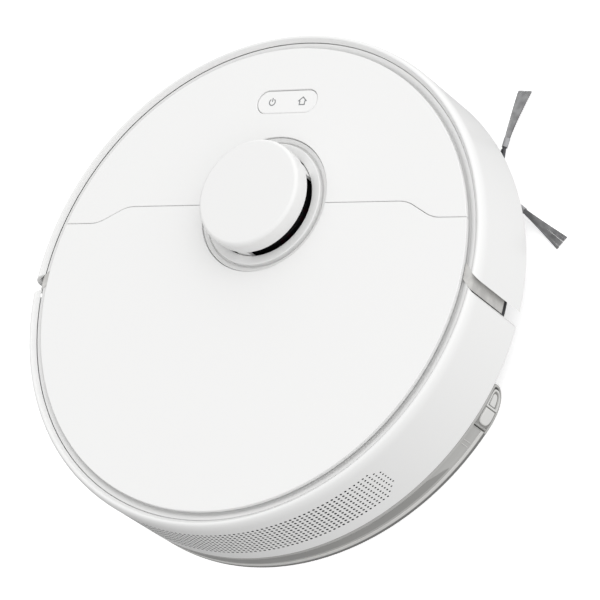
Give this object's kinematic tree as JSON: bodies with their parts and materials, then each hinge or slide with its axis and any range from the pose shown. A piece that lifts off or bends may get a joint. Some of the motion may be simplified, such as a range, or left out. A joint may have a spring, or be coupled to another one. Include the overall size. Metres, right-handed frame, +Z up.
{
  "type": "robot vacuum",
  "caption": "Round robot vacuum and mop with a laser turret, hinged rear lid, springy bumper, exhaust grille, side brush and slide-out water tank.",
  "frame": {"origin": "centre of the round body on the flat underside of the bottom housing", "axes": "+X to the robot's right, +Y to its front (bumper), +Z up; the wheels reach 10 mm below the origin"},
  "size_m": [0.3607, 0.35, 0.1011],
  "materials": {
    "bottom_housing": "moulded",
    "mid_frame": "moulded",
    "rim_ring": "satin",
    "front_cover": "satin",
    "rear_shell": "satin",
    "end_seals": "matt",
    "exhaust_foam": "open foam",
    "turret_base": "satin",
    "lidar_base": "moulded",
    "lidar_motor": "plain",
    "lidar_belt": "matt",
    "lid_hinge_pins": "plain",
    "bay_panel": "fine texture",
    "brush_tunnel": "moulded",
    "brush_guard": "moulded",
    "brush_motor": "plain",
    "side_brush_gearbox": "moulded",
    "battery_pack": "shrink wrap",
    "battery_cover": "moulded",
    "main_board": "circuit board",
    "charging_contacts": "plated",
    "cliff_sensors": "smoked",
    "dustbin": "smoked",
    "dustbin_lid": "smoked",
    "hepa_filter": "pleated paper",
    "fan_housing": "moulded",
    "wheel_housings": "moulded",
    "suspension_pins": "plain",
    "suspension_spring_left": "wire",
    "suspension_spring_right": "wire",
    "bumper_sensors": "moulded",
    "key_board": "circuit board",
    "speaker": "moulded",
    "underside_screws": "plain",
    "bumper_shell": "satin",
    "bumper_window": "smoked",
    "rear_lid": "satin",
    "lid_hinge_arms": "moulded",
    "key_plate": "satin",
    "turret_cover": "satin",
    "lidar_rotor": "moulded",
    "lidar_pulley": "moulded",
    "gearbox_left": "moulded",
    "gearbox_right": "moulded",
    "tyre_left": "lugged",
    "tyre_right": "lugged",
    "wheel_hub_left": "moulded",
    "wheel_hub_right": "moulded",
    "caster_fork": "moulded",
    "caster_wheel": "moulded",
    "brush_core": "moulded",
    "brush_blades": "soft",
    "side_brush_hub": "moulded",
    "side_brush_tufts": "nylon bristles",
    "fan_impeller": "moulded",
    "water_tank": "smoked translucent",
    "tank_plug": "soft",
    "mop_pad": "microfibre",
    "tank_latch_left": "satin",
    "tank_latch_right": "satin"
  },
  "bodies": {
    "chassis": {"bottom_housing": "bottom_housing", "mid_frame": "mid_frame", "rim_ring": "rim_ring", "front_cover": "front_cover", "rear_shell": "rear_shell", "end_seals": "end_seals", "exhaust_foam": "exhaust_foam", "turret_base": "turret_base", "lidar_base": "lidar_base", "lidar_motor": "lidar_motor", "lidar_belt": "lidar_belt", "lid_hinge_pins": "lid_hinge_pins", "bay_panel": "bay_panel", "brush_tunnel": "brush_tunnel", "brush_guard": "brush_guard", "brush_motor": "brush_motor", "side_brush_gearbox": "side_brush_gearbox", "battery_pack": "battery_pack", "battery_cover": "battery_cover", "main_board": "main_board", "charging_contacts": "charging_contacts", "cliff_sensors": "cliff_sensors", "dustbin": "dustbin", "dustbin_lid": "dustbin_lid", "hepa_filter": "hepa_filter", "fan_housing": "fan_housing", "wheel_housings": "wheel_housings", "suspension_pins": "suspension_pins", "suspension_spring_left": "suspension_spring_left", "suspension_spring_right": "suspension_spring_right", "bumper_sensors": "bumper_sensors", "key_board": "key_board", "speaker": "speaker", "underside_screws": "underside_screws"},
    "bumper": {"bumper_shell": "bumper_shell", "bumper_window": "bumper_window"},
    "lid": {"rear_lid": "rear_lid", "lid_hinge_arms": "lid_hinge_arms"},
    "keys": {"key_plate": "key_plate"},
    "turret_cap": {"turret_cover": "turret_cover"},
    "rotor": {"lidar_rotor": "lidar_rotor"},
    "pulley": {"lidar_pulley": "lidar_pulley"},
    "arm_left": {"gearbox_left": "gearbox_left"},
    "arm_right": {"gearbox_right": "gearbox_right"},
    "wheel_left": {"tyre_left": "tyre_left", "wheel_hub_left": "wheel_hub_left"},
    "wheel_right": {"tyre_right": "tyre_right", "wheel_hub_right": "wheel_hub_right"},
    "caster": {"caster_fork": "caster_fork"},
    "caster_roller": {"caster_wheel": "caster_wheel"},
    "main_brush": {"brush_core": "brush_core", "brush_blades": "brush_blades"},
    "side_brush": {"side_brush_hub": "side_brush_hub", "side_brush_tufts": "side_brush_tufts"},
    "impeller": {"fan_impeller": "fan_impeller"},
    "tank": {"water_tank": "water_tank", "tank_plug": "tank_plug", "mop_pad": "mop_pad"},
    "latch_left": {"tank_latch_left": "tank_latch_left"},
    "latch_right": {"tank_latch_right": "tank_latch_right"}
  },
  "joints": [
    {"name": "bumper_press", "type": "slide", "parent": "chassis", "child": "bumper", "axis": [0, -1, 0], "range_m": [0, 0.0035], "stiffness_N_per_m": 900},
    {"name": "lid_hinge", "type": "hinge", "parent": "chassis", "child": "lid", "pos_m": [0, 0.05695, 0.065], "axis": [-1, 0, 0], "range_deg": [0, 80]},
    {"name": "key_rock", "type": "hinge", "parent": "chassis", "child": "keys", "pos_m": [0, 0.1246, 0.0684], "axis": [0, 1, 0], "range_deg": [-1.5, 1.5], "stiffness_Nm_per_rad": 1.5},
    {"name": "turret_press", "type": "slide", "parent": "chassis", "child": "turret_cap", "axis": [0, 0, -1], "range_m": [0, 0.001], "stiffness_N_per_m": 2500, "springref_m": -0.0008},
    {"name": "lidar_spin", "type": "hinge", "parent": "chassis", "child": "rotor", "pos_m": [0, 0.0507, 0.05], "axis": [0, 0, 1], "continuous": true},
    {"name": "pulley_spin", "type": "hinge", "parent": "chassis", "child": "pulley", "pos_m": [0.02, 0.098, 0.05], "axis": [0, 0, 1], "continuous": true},
    {"name": "arm_right", "type": "hinge", "parent": "chassis", "child": "arm_right", "pos_m": [0.098, 0.052, 0.032], "axis": [1, 0, 0], "range_deg": [-1.5, 9.5], "stiffness_Nm_per_rad": 1.2, "springref_deg": 28.65, "deforming": ["suspension_spring_right"]},
    {"name": "arm_left", "type": "hinge", "parent": "chassis", "child": "arm_left", "pos_m": [-0.098, 0.052, 0.032], "axis": [1, 0, 0], "range_deg": [-1.5, 9.5], "stiffness_Nm_per_rad": 1.2, "springref_deg": 28.65, "deforming": ["suspension_spring_left"]},
    {"name": "wheel_spin_right", "type": "hinge", "parent": "arm_right", "child": "wheel_right", "pos_m": [0.117, -0.005, 0.025], "axis": [1, 0, 0], "continuous": true},
    {"name": "wheel_spin_left", "type": "hinge", "parent": "arm_left", "child": "wheel_left", "pos_m": [-0.117, -0.005, 0.025], "axis": [1, 0, 0], "continuous": true},
    {"name": "caster_swivel", "type": "hinge", "parent": "chassis", "child": "caster", "pos_m": [0, 0.128, 0], "axis": [0, 0, 1], "continuous": true},
    {"name": "caster_spin", "type": "hinge", "parent": "caster", "child": "caster_roller", "pos_m": [0, 0.123, 0.001], "axis": [1, 0, 0], "continuous": true},
    {"name": "main_brush_spin", "type": "hinge", "parent": "chassis", "child": "main_brush", "pos_m": [0, 0.008, 0.0125], "axis": [1, 0, 0], "continuous": true},
    {"name": "side_brush_spin", "type": "hinge", "parent": "chassis", "child": "side_brush", "pos_m": [0.125, 0.094, 0], "axis": [0, 0, 1], "continuous": true},
    {"name": "fan_spin", "type": "hinge", "parent": "chassis", "child": "impeller", "pos_m": [0, -0.13, 0.038], "axis": [0, 1, 0], "continuous": true},
    {"name": "tank_slide", "type": "slide", "parent": "chassis", "child": "tank", "axis": [0, -1, 0], "range_m": [0, 0.12]},
    {"name": "latch_press_right", "type": "slide", "parent": "tank", "child": "latch_right", "axis": [-0.9239, 0.3827, 0], "range_m": [0, 0.0025], "stiffness_N_per_m": 600},
    {"name": "latch_press_left", "type": "slide", "parent": "tank", "child": "latch_left", "axis": [0.9239, 0.3827, 0], "range_m": [0, 0.0025], "stiffness_N_per_m": 600}
  ],
  "couplings": [
    {"joint": "pulley_spin", "follows": "lidar_spin", "ratio": 7}
  ]
}
